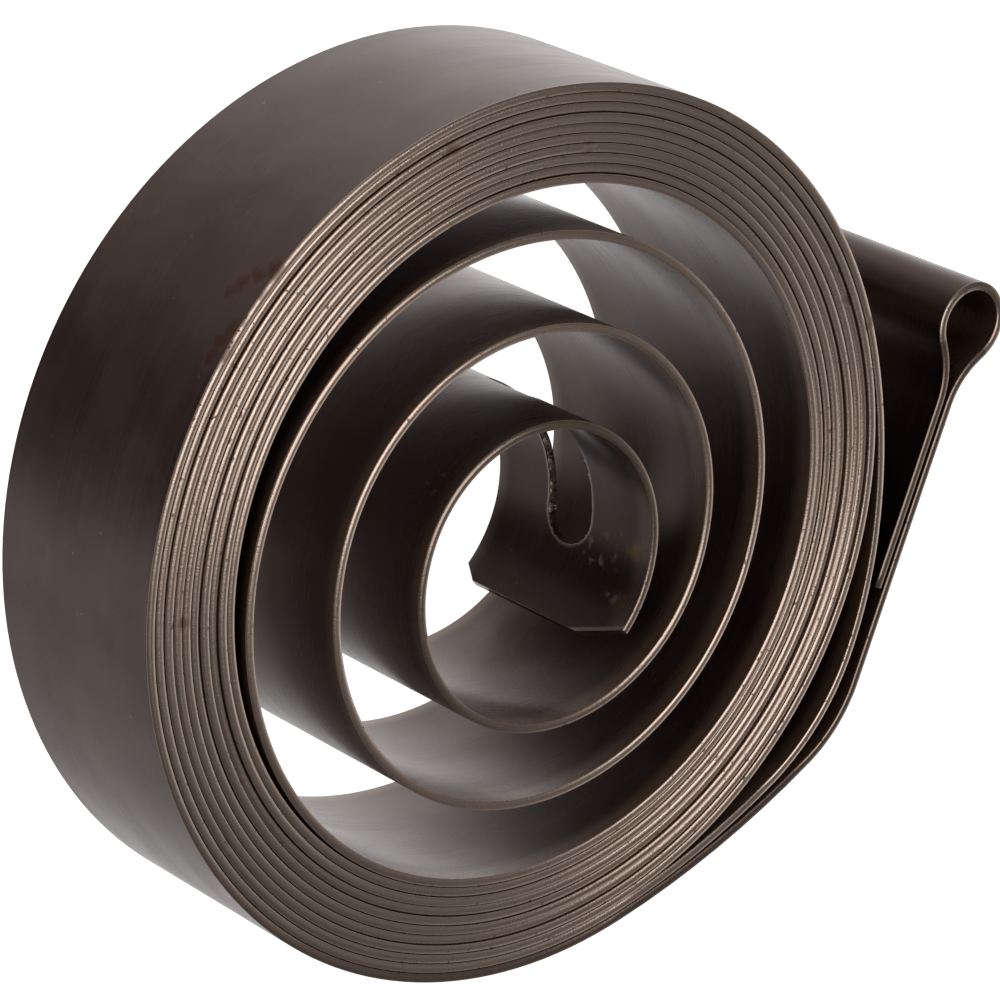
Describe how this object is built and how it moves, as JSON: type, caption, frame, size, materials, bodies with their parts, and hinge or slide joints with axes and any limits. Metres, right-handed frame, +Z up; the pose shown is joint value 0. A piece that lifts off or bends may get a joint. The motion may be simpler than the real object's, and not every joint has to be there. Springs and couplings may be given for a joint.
{
  "type": "drill press return spring",
  "caption": "Flat spiral return spring wound from a steel strip, with a slotted inner eye for the arbor and a folded loop hook at the outer end.",
  "frame": {"origin": "on the axis of the inner eye, at the strip's lower edge", "axes": "+Z up the strip's width, along the eye's axis; +X along the hook's leg, towards its loop"},
  "size_m": [0.0604, 0.0656, 0.016],
  "materials": {
    "spring_steel": "dark oil-tempered strip with bright slit edges and light rust"
  },
  "bodies": {
    "root": {"spring_strip": "spring_steel"}
  },
  "joints": []
}
